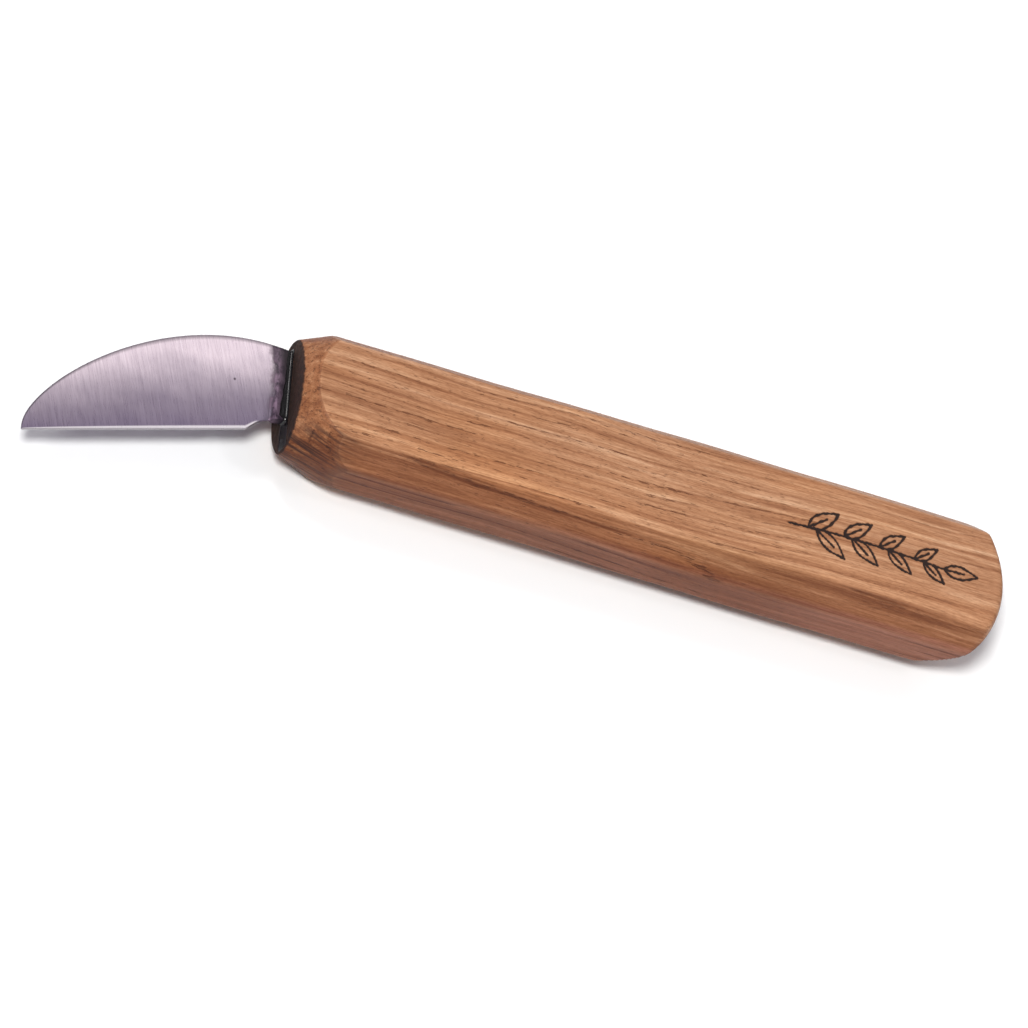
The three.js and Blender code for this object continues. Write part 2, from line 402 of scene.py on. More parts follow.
def sprig_lines():
    """The burned mark's lines: a stem, pairs of leaves that shrink towards its end, and a last leaf."""
    stem_end = SPRIG_END - LAST_LEAF_LENGTH
    stem_x = np.linspace(SPRIG_START, stem_end, 24)
    span = SPRIG_END - SPRIG_START

    def stem_y(x):
        return SPRIG_Y + STEM_SWAY * np.sin((x - SPRIG_START) / span * 4.2)

    lines = [np.stack([stem_x, stem_y(stem_x)], 1)]
    for k in range(LEAF_PAIRS):
        x = SPRIG_START + FIRST_LEAF + k * LEAF_SPACING
        size = 1 - LEAF_SHRINK * k
        for side, shift in ((1, 0.0), (-1, LEAF_STAGGER)):
            base = (x + shift, float(stem_y(x + shift)))
            lines += leaf(base, side * LEAF_ANGLE, LEAF_LENGTH * size, LEAF_WIDTH * size)
    end = (stem_end, float(stem_y(stem_end)))
    lines += leaf(end, 0.03, LAST_LEAF_LENGTH, LAST_LEAF_WIDTH)
    return lines


def distance_to_lines(points, lines):
    """Distance from each 2-D point to the nearest of several polylines."""
    best = np.full(len(points), FAR)
    for line in lines:
        for a, b in zip(line[:-1], line[1:]):
            along = b - a
            t = np.clip(((points - a) @ along) / max(along @ along, 1e-12), 0, 1)
            gap = np.linalg.norm(points - (a + t[:, None] * along), axis=1)
            best = np.minimum(best, gap)
    return best


def burn_mark(points):
    """How burned each point of the upper wide face is, from 0 to 1."""
    burn = np.zeros(len(points))
    inside = (points[:, 2] > HALF_THICKNESS - 0.6) & (np.abs(points[:, 1] - SPRIG_Y) < 6)
    inside &= (points[:, 0] > SPRIG_START - 2) & (points[:, 0] < SPRIG_END + 2)
    if inside.any():
        spots = points[inside][:, :2]
        x, y = spots.T
        uneven = 0.05 * np.sin(x * 3.1 + y * 2.3) + 0.04 * np.sin(x * 7.7 - y * 5.1)
        gap = distance_to_lines(spots, sprig_lines()) + uneven
        burn[inside] = 1 - smooth_step(STROKE - 0.1, STROKE + 0.14, gap)
    return burn


# ------------ handle: its mesh

def make_handle():
    outline = perimeter_directions()
    middle = HALF_BUTT_WIDTH - WIDENING / 2
    rings, edges, burns, tapers = [], [], [], []

    def directions(x):
        spread = np.stack([outline[:, 0] * half_width(x) / middle, outline[:, 1]], 1)
        return spread / np.linalg.norm(spread, axis=1)[:, None]

    def add(points, edge=0.0, taper=0.0):
        burn = burn_mark(points)
        points = points.copy()
        points[:, 2] -= BURN_DEPTH * burn
        rings.append(points)
        edges.append(edge + np.zeros(len(points)))
        burns.append(burn)
        tapers.append(taper + np.zeros(len(points)))

    def across(x, inset=0.0):
        """The handle's outline at x, drawn in by inset."""
        d = directions(x)
        reach, edge, taper = surface_reach(x, np.zeros(len(d)), d[:, 0], d[:, 1])
        return np.column_stack([np.full(len(d), x), d * (reach - inset)[:, None]]), edge, taper

    # The mortise, from its blind end to its mouth.
    d = directions(0)
    depths = [MORTISE_ROUND_X + MORTISE_END_ROUND * math.sin(a) for a in np.linspace(1.5, 0.0, 7)]
    depths += [55.0, 40.0, 25.0, 12.0, 5.0, 2.0, 0.8, 0.25]
    for x in depths:
        top, bottom = mortise_span(x)
        centre_y = MORTISE_MIDDLE * min(x / MORTISE_ROUND_X, 1.0)
        reach = slot_reach(d[:, 0], d[:, 1], top - centre_y, bottom - centre_y)
        ring = np.column_stack([np.full(len(d), x), d * reach[:, None]])
        add(ring + (0, centre_y, 0))

    # The front face, from the mouth out to its rim, a little hollow and rough from charring.
    mouth = slot_reach(d[:, 0], d[:, 1], *MORTISE_FRONT)
    rim_reach = np.linalg.norm(across(0.0, inset=RIM_ROUND)[0][:, 1:], axis=1)
    for share in (0.0, 0.05, 0.15, 0.3, 0.45, 0.6, 0.75, 0.88, 0.96):
        reach = between(mouth, rim_reach, share)
        y, z = d[:, 0] * reach, d[:, 1] * reach
        hollow = FACE_HOLLOW * (1 - share ** 2) if share > 0 else MOUTH_DIP
        rough = CHAR_RELIEF * np.sin(y * 2.9 + z * 1.7) + CHAR_RELIEF * np.sin(y * 1.1 - z * 3.7)
        x = hollow + rough * (0.02 < share < 0.93)
        add(np.column_stack([x, y, z]), taper=1.0)

    # The rounded rim, then the taper, the bar and the mark, closest together on taper and mark.
    for turn in (0.0, 0.35, 0.75, 1.15):
        x = RIM_ROUND * (1 - math.cos(turn))
        add(*across(x, inset=RIM_ROUND * (1 - math.sin(turn))))
    start = RIM_ROUND
    for stop, step in ((9.0, 0.27), (86.0, 1.05), (90.0, 0.8), (SPRIG_END + 0.6, 0.16),
                       (LENGTH - BUTT_FAN, 0.4)):
        for x in spaced(start, stop, step):
            add(*across(x))
        start = stop

    # The butt.
    centre = LENGTH - BUTT_FAN
    d = directions(centre)
    for lift in np.linspace(0, math.pi / 2, BUTT_RINGS + 1)[:-1]:
        sx = np.full(len(d), math.sin(lift))
        sy, sz = d[:, 0] * math.cos(lift), d[:, 1] * math.cos(lift)
        reach, edge, _ = surface_reach(centre, sx, sy, sz)
        add(np.column_stack([centre + sx * reach, sy * reach, sz * reach]), edge)

    return closed_skin("handle_oak", rings, 40, {"edge": edges, "burn": burns, "taper": tapers})


# ------------ blade

# Directions in the blade's plane: along its edge towards the tip, and square to it towards the spine.
EDGE_LENGTH = float(np.linalg.norm(TIP - HEEL))
ALONG = (TIP - HEEL) / EDGE_LENGTH
ABOVE = np.array([ALONG[1], -ALONG[0]])


def bezier(points, t):
    p0, p1, p2, p3 = points
    t = np.asarray(t)[:, None]
    return (1 - t) ** 3 * p0 + 3 * (1 - t) ** 2 * t * p1 + 3 * (1 - t) * t ** 2 * p2 + t ** 3 * p3


def spine_curve(count):
    return bezier([SPINE_ROOT, *SPINE_CONTROLS, TIP], np.linspace(0, 1, count))


def height_above_edge(points):
    return (np.asarray(points) - TIP) @ ABOVE


def tang_span(share):
    """The tang's top and bottom, at a share of the way from the front face to its end."""
    return (between(SPINE_ROOT[1], TANG_TOP_END, share),
            between(NOTCH_ROOT[1], TANG_BOTTOM_END, share))


def blade_columns():
    """Matched points on the lower and upper outline, from the tang's end to the tip, and how keen
    the lower outline is there: 0 where it is square, 1 where it is sharpened."""
    lower, upper, keen = [], [], []
    spine = spine_curve(600)

    # The tang, from its rounded end to the handle's face.
    round_end = (TANG_TOP_END - TANG_BOTTOM_END) / 2
    round_x = TANG_END - round_end
    middle = (TANG_TOP_END + TANG_BOTTOM_END) / 2
    for angle in np.linspace(1.5, 0.15, 9):
        half = round_end * math.cos(angle)
        x = round_x + round_end * math.sin(angle)
        lower.append((x, middle - half))
        upper.append((x, middle + half))
    for x in spaced(round_x, 0, 4.0):
        top, bottom = tang_span(x / round_x)
        lower.append((x, bottom))
        upper.append((x, top))
    keen += [0.0] * len(lower)

    # The notch, below the first stretch of the spine.
    along = (spine - HEEL) @ ALONG
    first = spine[: np.argmax(along > 0) + 1]
    steps = np.concatenate([[0], np.cumsum(np.linalg.norm(np.diff(first, axis=0), axis=1))])
    shares = np.linspace(0, 1, 32)[:-1]
    notch = bezier([NOTCH_ROOT, *NOTCH_CONTROLS, HEEL], shares)
    for share, spot in zip(shares, notch):
        lower.append(tuple(spot))
        want = share * steps[-1]
        upper.append((np.interp(want, steps, first[:, 0]), np.interp(want, steps, first[:, 1])))
        keen.append(float(smooth_step(0.25, 0.75, share)))

    # The cutting edge, with each column square to it.
    heights = height_above_edge(spine)
    order = np.argsort(along)
    places = list(np.linspace(0, EDGE_LENGTH - DENSE_TIP, 110))
    places += list(EDGE_LENGTH - DENSE_TIP * np.geomspace(1, 0.012, 26)[1:])
    for s in places:
        low = HEEL + ALONG * s
        high = low + ABOVE * np.interp(s, along[order], heights[order])
        lower.append(tuple(low))
        upper.append(tuple(high))
        keen.append(1.0)
    return np.array(lower), np.array(upper), np.array(keen)


def ground_half_thickness(points, full_height):
    """Half of the blade's thickness: the flat grind, blended into the full stock at the plunge."""
    share = height_above_edge(points) / full_height
    crown = GRIND_CROWN * np.sin(math.pi * np.clip(share, 0, 1))
    ground = EDGE_HALF_THICKNESS + (HALF_STOCK - EDGE_HALF_THICKNESS) * share + crown
    ground = np.minimum(ground, HALF_STOCK)
    blend = smooth_step(PLUNGE_X - PLUNGE_RAMP / 2, PLUNGE_X + PLUNGE_RAMP / 2, points[:, 0])
    return between(ground, HALF_STOCK, blend)


def make_blade():
    full_height = height_above_edge(spine_curve(200)).max()
    rings, backs, bevels = [], [], []
    for low, high, sharp in zip(*blade_columns()):
        # Near the tip the bevel and the spine's ease shrink with the blade's height.
        height = float(np.linalg.norm(high - low))
        bevel = min(BEVEL_WIDTH, height * 0.3)
        ease = min(SPINE_EASE, height * 0.12)
        rows = [0.0, bevel, between(bevel, height, 0.05)]
        rows += list(np.linspace(bevel, height - ease, 22)[2:])
        rows.append(height)
        shares = np.array(rows) / height
        flat = between(low, high, shares[:, None])
        half = ground_half_thickness(flat, full_height)

        # The lowest row is the apex where the outline is sharp and an eased corner elsewhere.
        half[0] = between(half[0] - CORNER_EASE, APEX_HALF_THICKNESS, sharp)
        half[1] = half[1] * sharp + (half[0] + CORNER_EASE) * (1 - sharp)
        half[-1] = max(half[-1] - ease * 0.8, 0.3 * half[-1])
        near = np.column_stack([flat, half])
        far = near[::-1] * (1, 1, -1)
        rings.append(np.concatenate([near, far]))
        back = (shares >= shares[-2]).astype(float)
        backs.append(np.concatenate([back, back[::-1]]))
        honed = sharp * (shares <= shares[1])
        bevels.append(np.concatenate([honed, honed[::-1]]))
    return closed_skin("blade_steel", rings, 9, {"spine": backs, "bevel": bevels})


# ------------ epoxy

def slot_outline(top, bottom, half, corner):
    """A rectangle in Y and Z with rounded corners, as many points each time: its two long runs
    have 90 each, its two short ones 4 and its corners 6."""
    corner = min(corner, half * 0.98, (top - bottom) / 2 * 0.98)
    high_y, low_y, side_z = top - corner, bottom + corner, half - corner
    arcs = []
    for cy, cz, start in ((high_y, side_z, 0), (low_y, side_z, 90), (low_y, -side_z, 180),
                          (high_y, -side_z, 270)):
        turn = np.radians(np.linspace(start, start + 90, 6))
        arcs.append(np.column_stack([cy + corner * np.cos(turn), cz + corner * np.sin(turn)]))
    outline = []
    for arc, following, count in zip(arcs, arcs[1:] + arcs[:1], (90, 4, 90, 4)):
        outline += [arc, np.linspace(arc[-1], following[0], count + 2)[1:-1]]
    return np.concatenate(outline)


def bead_x(y, share):
    """How far forward the bead stands at y, at a share of the way from its lip to its seat. It is
    higher low down, hollow in section, and runs out as a line on the face below the steel."""
    wobble = 0.05 * np.sin(y * 2.3) + 0.02 * np.sin(y * 5.1)
    reach = (BEAD_REACH + BEAD_DROOP * smooth_step(4.0, -5.5, y) + wobble) * smooth_step(-5.3, -4.1, y)
    sunk = 0.3 * smooth_step(-5.2, -7.0, y) * (1 - share)
    return 0.04 - reach * (1 - share) ** 2.1 + sunk


def make_bedding():
    rings = []

    def ring(x, top, bottom, half, corner):
        flat = slot_outline(top, bottom, half, corner)
        rings.append(np.column_stack([np.full(len(flat), x), flat]))

    # The hole for the tang, from its blind end to the lip of the bead.
    for x in (TANG_END + CLEARANCE, 60.0, 45.0, 30.0, 15.0, 5.0, 1.0, 0.0):
        top, bottom = tang_span(x / TANG_END)
        ring(x, top + CLEARANCE, bottom - CLEARANCE, HALF_STOCK + CLEARANCE, 0.05)

    # The bead, from a thin lip on the steel to its seat on the wood.
    lip = np.array([SPINE_ROOT[1] + SEAT_LAP, NOTCH_ROOT[1] - SEAT_LAP, HALF_STOCK + LIP_LIFT])
    seat = np.array([MORTISE_FRONT[0] + SEAT_LAP, MORTISE_FRONT[1] - SEAT_LAP,
                     MORTISE_HALF_THICKNESS + SEAT_LAP])
    for share in np.linspace(0, 1, 18):
        top, bottom, half = between(lip, seat, share ** 1.6)
        ring(0.0, top, bottom, half, 0.15 + 0.5 * share)
        rings[-1][:, 0] = bead_x(rings[-1][:, 1], share)

    # The outside, along the mortise's walls to its blind end.
    depths = [0.3, 1.0, 5.0, 15.0, 30.0, 45.0, 60.0, MORTISE_ROUND_X]
    depths += [MORTISE_ROUND_X + MORTISE_END_ROUND * math.sin(a) for a in np.linspace(0.3, 1.4, 6)]
    for x in depths:
        top, bottom = mortise_span(x)
        ring(x, top - CLEARANCE, bottom + CLEARANCE, MORTISE_HALF_THICKNESS - CLEARANCE, BEDDING_CORNER)
    return closed_skin("tang_bedding_epoxy", rings, 30)


# ------------ helpers for materials

class Graph:
    """A material's nodes, made and joined by short calls. An input may be a number or a socket."""

    def __init__(self, name):
        self.material = bpy.data.materials.new(name)
        self.material.use_nodes = True
        self.tree = self.material.node_tree
        self.tree.nodes.clear()
        self.shader = self.node("ShaderNodeBsdfPrincipled")
        output = self.node("ShaderNodeOutputMaterial")
        self.join(self.shader.outputs[0], output.inputs[0])
        coordinates = self.node("ShaderNodeTexCoord")
        scaled = self.node("ShaderNodeVectorMath", operation="SCALE")
        self.join(coordinates.outputs["Object"], scaled.inputs[0])
        scaled.inputs["Scale"].default_value = 1 / MM
        self.mm = scaled.outputs[0]
        self.normal = coordinates.outputs["Normal"]

    def node(self, kind, **settings):
        made = self.tree.nodes.new(kind)
        for key, value in settings.items():
            setattr(made, key, value)
        return made

    def join(self, value, socket):
        if isinstance(value, bpy.types.NodeSocket):
            self.tree.links.new(value, socket)
        else:
            socket.default_value = value

    def math(self, operation, *values):
        made = self.node("ShaderNodeMath", operation=operation)
        for value, socket in zip(values, made.inputs):
            self.join(value, socket)
        return made.outputs[0]

    def plus(self, a, b):
        return self.math("ADD", a, b)

    def less(self, a, b):
        return self.math("SUBTRACT", a, b)

    def times(self, a, b):
        return self.math("MULTIPLY", a, b)

    def linear(self, value, slope, start):
        """start, plus slope times value."""
        return self.math("MULTIPLY_ADD", value, slope, start)

    def centred(self, noise, height):
        """Noise moved to swing about 0, and made height times as strong."""
        return self.times(self.less(noise, 0.5), height)

    def vector(self, operation, *values):
        made = self.node("ShaderNodeVectorMath", operation=operation)
        for value, socket in zip(values, made.inputs):
            self.join(value, socket)
        return made.outputs["Value"] if operation == "LENGTH" else made.outputs[0]

    def parts(self, vector):
        made = self.node("ShaderNodeSeparateXYZ")
        self.join(vector, made.inputs[0])
        return made.outputs

    def combine(self, x, y, z):
        made = self.node("ShaderNodeCombineXYZ")
        for value, socket in zip((x, y, z), made.inputs):
            self.join(value, socket)
        return made.outputs[0]

    def noise(self, vector, detail=2.0, roughness=0.5):
        """Noise as a value and as a colour."""
        made = self.node("ShaderNodeTexNoise")
        self.join(vector, made.inputs["Vector"])
        made.inputs["Scale"].default_value = 1.0
        made.inputs["Detail"].default_value = detail
        made.inputs["Roughness"].default_value = roughness
        return made.outputs

    def mottle(self, per_mm, **settings):
        """Noise with about this many patches per millimetre along each axis."""
        return self.noise(self.vector("MULTIPLY", self.mm, per_mm), **settings)[0]

    def cells(self, vector):
        made = self.node("ShaderNodeTexVoronoi")
        self.join(vector, made.inputs["Vector"])
        made.inputs["Scale"].default_value = 1.0
        return made.outputs

    def step(self, value, low, high):
        """0 below low and 1 above high, smooth between; low above high turns it round."""
        made = self.node("ShaderNodeMapRange", interpolation_type="SMOOTHSTEP")
        self.join(value, made.inputs["Value"])
        flip = low > high
        made.inputs["From Min"].default_value = min(low, high)
        made.inputs["From Max"].default_value = max(low, high)
        made.inputs["To Min"].default_value = 1.0 if flip else 0.0
        made.inputs["To Max"].default_value = 0.0 if flip else 1.0
        return made.outputs[0]

    def span(self, value, low, high, to_low, to_high):
        """A straight-line change of range, held at its ends."""
        made = self.node("ShaderNodeMapRange")
        for key, number in zip(("From Min", "From Max", "To Min", "To Max"),
                               (low, high, to_low, to_high)):
            made.inputs[key].default_value = number
        self.join(value, made.inputs["Value"])
        return made.outputs[0]

    def ramp(self, value, *stops):
        """A colour ramp, from stops given as (position, colour)."""
        made = self.node("ShaderNodeValToRGB")
        elements = made.color_ramp.elements
        while len(elements) < len(stops):
            elements.new(0.5)
        for element, (position, colour) in zip(elements, stops):
            element.position = position
            element.color = (*colour, 1.0)
        self.join(value, made.inputs[0])
        return made.outputs[0]

    def mix(self, factor, a, b, blend="MIX"):
        made = self.node("ShaderNodeMix", data_type="RGBA", blend_type=blend)
        self.join(factor, made.inputs[0])
        for value, socket in ((a, made.inputs[6]), (b, made.inputs[7])):
            self.join((*value, 1.0) if isinstance(value, tuple) else value, socket)
        return made.outputs[2]

    def multiply(self, colour, by):
        return self.mix(1.0, colour, by, "MULTIPLY")

    def tint(self, factor, colour, by):
        """The colour, multiplied by another as far as factor goes."""
        return self.mix(factor, colour, self.multiply(colour, by))

    def attribute(self, name):
        return self.node("ShaderNodeAttribute", attribute_name=name).outputs["Fac"]

    def bump(self, height, distance_mm):
        made = self.node("ShaderNodeBump")
        made.inputs["Strength"].default_value = 1.0
        made.inputs["Distance"].default_value = distance_mm * MM
        self.join(height, made.inputs["Height"])
        return made.outputs[0]

    def finish(self, fixed, **inputs):
        """Joins the shader's inputs, and sets those that are fixed numbers by their full names."""
        for key, value in inputs.items():
            self.join(value, self.shader.inputs[key.replace("_", " ").title()])
        for key, number in fixed.items():
            self.shader.inputs[key].default_value = number
        return self.material


def srgb(red, green, blue):
    """A colour given as 0 to 255 display values, as the linear values that shaders take."""
    def linear(value):
        value /= 255
        return value / 12.92 if value <= 0.04045 else ((value + 0.055) / 1.055) ** 2.4
    return linear(red), linear(green), linear(blue)


def grey(value):
    return value, value, value


# ------------ oak

RING_SPACING = 1.45
PITH_SHIFT = (0.0, -68.0, 58.0)     # brings the pith, a line along X far outside, to the axis


class OakGraph(Graph):
    """The nodes of ring-porous oak. Its grain runs along X and drifts slowly sideways."""

    def __init__(self, name):
        super().__init__(name)
        self.x, self.y, self.z = self.parts(self.mm)
        bent = self.vector("ADD", self.mm, self.wander((0.013, 0.045, 0.045), 6.0))
        self.bent = self.vector("ADD", bent, self.wander((0.04, 0.14, 0.14), 0.6))
        self.bent_y = self.parts(self.bent)[1]
        self.streak = self.along_grain(60, 1.3, detail=5.0, roughness=0.62)
        self.fibre = self.along_grain(5.0, 0.20, roughness=0.6)
        # The cutting edge's side, towards the heartwood: darker partly from the wood's own tone and
        # partly from painted shade.
        self.heart_and_shade = self.step(self.plus(self.bent_y, self.times(self.streak, 3.0)), -7.3, -9.6)
        self.taper = self.step(self.attribute("taper"), 0.12, 0.42)

    def wander(self, per_mm, reach):
        """A sideways drift of about half of reach either way."""
        sway = self.noise(self.vector("MULTIPLY", self.mm, per_mm), detail=1.0)[1]
        return self.vector("MULTIPLY", self.vector("SUBTRACT", sway, grey(0.5)), (0.0, reach, reach))

    def along_grain(self, length, width, **settings):
        """Noise whose patches are about length along the grain and width across it."""
        per_mm = (1 / length, 1 / width, 1 / width)
        return self.noise(self.vector("MULTIPLY", self.bent, per_mm), **settings)[0]

    def behind_front(self, low, high):
        """A step along the handle, between two distances from its front face."""
        return self.step(self.x, FRONT_X + low, FRONT_X + high)

    def weigh(self, along_x, along_y, along_z):
        """x, y and z, each times its own weight, summed."""
        by_y = self.linear(self.y, along_y, self.times(self.x, along_x))
        return self.linear(self.z, along_z, by_y)


def oak_rings(g):
    """Growth rings about a far pith, which cross the handle as long, slightly bent lines: each
    point's place in its ring, from 0 to 1, and a random number for each ring."""
    from_pith = g.vector("MULTIPLY", g.vector("ADD", g.bent, PITH_SHIFT), (0.0, 1.0, 1.0))
    radius = g.plus(g.vector("LENGTH", from_pith), g.times(g.x, 0.012))
    radius = g.plus(radius, g.times(g.along_grain(70, 5.0), 1.1))
    rings = g.math("DIVIDE", radius, RING_SPACING)
    number = g.node("ShaderNodeTexWhiteNoise", noise_dimensions="1D")
    g.join(g.math("FLOOR", rings), number.inputs["W"])
    return g.math("FRACT", rings), number.outputs["Value"]


def oak_pores(g, line, strength, faint):
    """Pores are thin tubes along the grain, so they show as broken dashes on the sides and as dots
    on the ends. They stand in a row where each ring begins, with a few strays between the rows, and
    are fainter towards the butt."""
    chain = g.step(g.along_grain(17, 0.7, detail=1.0), 0.47, 0.56)
    row = g.times(g.times(line, chain), g.linear(strength, 0.12, 0.13))

    def tubes(length, width, level, crowding):
        tube = g.plus(g.along_grain(length, width, detail=1.0), g.times(row, crowding))
        return g.step(tube, level, level + 0.04)

    wide, narrow = tubes(2.2, 0.22, 0.74, 1.0), tubes(1.4, 0.16, 0.70, 0.3)
    return g.times(g.math("MAXIMUM", wide, g.times(narrow, 0.6)), g.linear(faint, -0.60, 1.0))


def oak_wood(g):
    """The wood's own colour, and its early wood and pores, which are low in the relief."""
    ring, strength = oak_rings(g)
    early = g.times(g.step(ring, 0.0, 0.12), g.step(ring, 0.62, 0.22))
    line = g.times(g.step(ring, 0.0, 0.06), g.step(ring, 0.30, 0.14))
    faint = g.behind_front(68, 104)
    pore = oak_pores(g, line, strength, faint)
    dark_line = g.times(g.times(line, g.step(g.along_grain(26, 1.6), 0.42, 0.58)),
                        g.linear(g.heart_and_shade, 0.35, g.linear(faint, -0.16, 0.40)))
    dark_line = g.times(dark_line, g.linear(g.taper, -0.7, 1.0))
    grit = g.along_grain(1.1, 0.22, roughness=0.6)

    colour = g.ramp(g.streak, (0.28, srgb(138, 91, 62)), (0.42, srgb(165, 118, 85)),
                    (0.55, srgb(183, 137, 103)), (0.72, srgb(210, 170, 137)))
    # Painted highlight: the wide faces are paler towards their edge on the cutting edge's side, a lit
    # band along that edge.
    colour = g.tint(g.step(g.bent_y, -3.5, -7.0), colour, (1.09, 1.08, 1.06))
    colour = g.mix(g.times(early, 0.20), colour, srgb(154, 99, 62))
    colour = g.mix(dark_line, colour, srgb(112, 64, 36))
    colour = g.tint(g.step(g.along_grain(45, 9.0), 0.42, 0.72), colour, (1.02, 0.95, 0.84))
    colour = g.multiply(colour, g.ramp(g.fibre, (0.32, (0.78, 0.72, 0.66)), (0.60, grey(1.05))))
    colour = g.multiply(colour, g.ramp(grit, (0.32, (0.84, 0.80, 0.77)), (0.58, grey(1.04))))
    colour = g.mix(g.times(pore, 0.74), colour, srgb(96, 52, 28))
    return colour, early, pore


def oak_regions(g, colour):
    """Tints of whole regions. The side with the cutting edge is redder and darker towards the
    heartwood, partly the wood's own tone and partly painted shade, most of all on one riper stretch
    of the lower chamfer. Its narrow face has painted shade, darker and violet by the front, and a
    painted cool cast, paler and bluer towards the butt. The other side has a painted grazing sheen,
    greyer, darker by the front and paler towards the butt, and is also darker by the front."""
    ripe = g.times(g.behind_front(62, 74), g.behind_front(104, 88))
    ripe = g.times(ripe, g.step(g.y, -7.6, -8.9))
    # Painted shade in part: the cutting edge's side is darkened beyond the heartwood's own tone.
    colour = g.tint(g.heart_and_shade, colour, (0.58, 0.455, 0.39))
    colour = g.tint(ripe, colour, (0.82, 0.76, 0.68))
    # Painted shade on the narrow face of the cutting edge's side: darker and violet by the front, with a
    # painted bluish cast of the fill light, paler and bluer, towards the butt.
    narrow_face_shading = g.step(g.plus(g.y, g.times(g.streak, 0.6)), -11.2, -11.9)
    narrow_face_shading_tint = g.mix(g.behind_front(40, 110), (0.76, 0.70, 0.78), (1.02, 1.04, 1.46))
    colour = g.tint(narrow_face_shading, colour, narrow_face_shading_tint)
    # A painted grazing sheen on the spine's side: greyer all along, darker by the front and paler
    # towards the butt.
    spine_side_sheen_tint = g.mix(g.behind_front(56, 72), (0.89, 0.91, 1.03), (1.05, 1.19, 1.48))
    colour = g.tint(g.step(g.y, 8.2, 9.6), colour, spine_side_sheen_tint)
    held = g.times(g.behind_front(34, 12), g.step(g.y, 7.6, 9.4))
    return g.tint(held, colour, (0.86, 0.80, 0.84))


def oak_ends_and_edges(g, colour):
    """End grain drinks oil and goes darker, most of all on the carved taper, and shows its pores as
    dots; the taper is darker still towards the cutting edge's side, which is painted shade; worn edges
    are a little paler."""
    end_grain = g.step(g.math("ABSOLUTE", g.parts(g.normal)[0]), 0.12, 0.75)
    colour = g.tint(end_grain, colour, (0.90, 0.86, 0.82))
    # Oil darkens the taper; towards the cutting edge's side it darkens more, which is painted shade.
    oil_and_shade_tint = g.mix(g.step(g.y, 4.0, -5.0), (0.82, 0.72, 0.65), (0.66, 0.53, 0.42))
    colour = g.tint(g.taper, colour, oil_and_shade_tint)
    speckle = g.mottle((1.1, 1.9, 1.9), detail=1.0)
    dots = g.times(g.step(speckle, 0.62, 0.67), g.times(g.taper, end_grain))
    colour = g.mix(g.times(dots, 0.6), colour, srgb(70, 40, 24))
    worn = g.times(g.step(g.attribute("edge"), 0.3, 0.5), g.less(1.0, end_grain))
    return g.mix(g.times(worn, 0.06), colour, srgb(222, 176, 138))


def oak_soot(g, colour):
    """Soot has darkened the wood next to the front face, on the cutting edge's side, in slanting
    streaks.
    """
    slant = g.combine(g.weigh(0.061, -0.036, 0.012), g.weigh(0.34, 1.12, 1.62), 0.0)
    smear = g.noise(slant, detail=3.0, roughness=0.55)[0]
    soot = g.times(g.behind_front(15, 2), g.step(g.y, -5.6, -9.6))
    return g.mix(g.times(soot, g.span(smear, 0.44, 0.59, 0.12, 0.94)), colour, srgb(48, 24, 18))


def oak_char(g, colour, speck):
    """The charred front face: black by the mortise, and paler and mottled towards the rim, where it
    ends. Gives the colour, and how charred each point is."""
    depth = g.plus(g.less(g.x, FRONT_X), g.centred(speck, -0.5))
    charred = g.step(depth, 0.36, 0.12)
    from_slot = g.plus(g.math("ABSOLUTE", g.less(g.z, AXIS_Z)), g.centred(speck, 2.4))
    char = g.mix(g.step(from_slot, 1.6, 4.6), srgb(15, 11, 12), srgb(42, 26, 24))
    char = g.mix(g.step(g.math("ABSOLUTE", g.y), 5.0, 9.8), char, srgb(44, 27, 24))
    char = g.mix(g.step(speck, 0.44, 0.58), char, srgb(22, 16, 17))
    return g.mix(g.times(charred, 0.94), colour, char), charred


def oak_material():
    g = OakGraph("oiled_oak")
    colour, early, pore = oak_wood(g)
    colour = oak_regions(g, colour)
    colour = oak_ends_and_edges(g, colour)
    colour = oak_soot(g, colour)
    speck = g.mottle(grey(0.9), detail=4.0, roughness=0.65)
    colour, charred = oak_char(g, colour, speck)

    # The burned mark: a black line with a scorched border.
    burn = g.attribute("burn")
    colour = g.mix(g.times(g.step(burn, 0.0, 0.35), 0.4), colour, srgb(116, 68, 38))
    colour = g.mix(g.times(g.step(burn, 0.2, 0.8), 0.96), colour, srgb(24, 17, 17))

    roughness = g.plus(g.span(g.fibre, 0.3, 0.7, 0.50, 0.64),
                       g.times(g.math("MAXIMUM", charred, burn), 0.25))
    relief = g.less(g.times(g.fibre, 0.5), pore)
    relief = g.less(relief, g.times(early, 0.2))
    relief = g.plus(relief, g.times(g.times(speck, charred), 1.5))
    return g.finish({"Specular IOR Level": 0.28}, base_color=colour, roughness=roughness,
                    normal=g.bump(relief, 0.08))


# ------------ steel, epoxy and floor

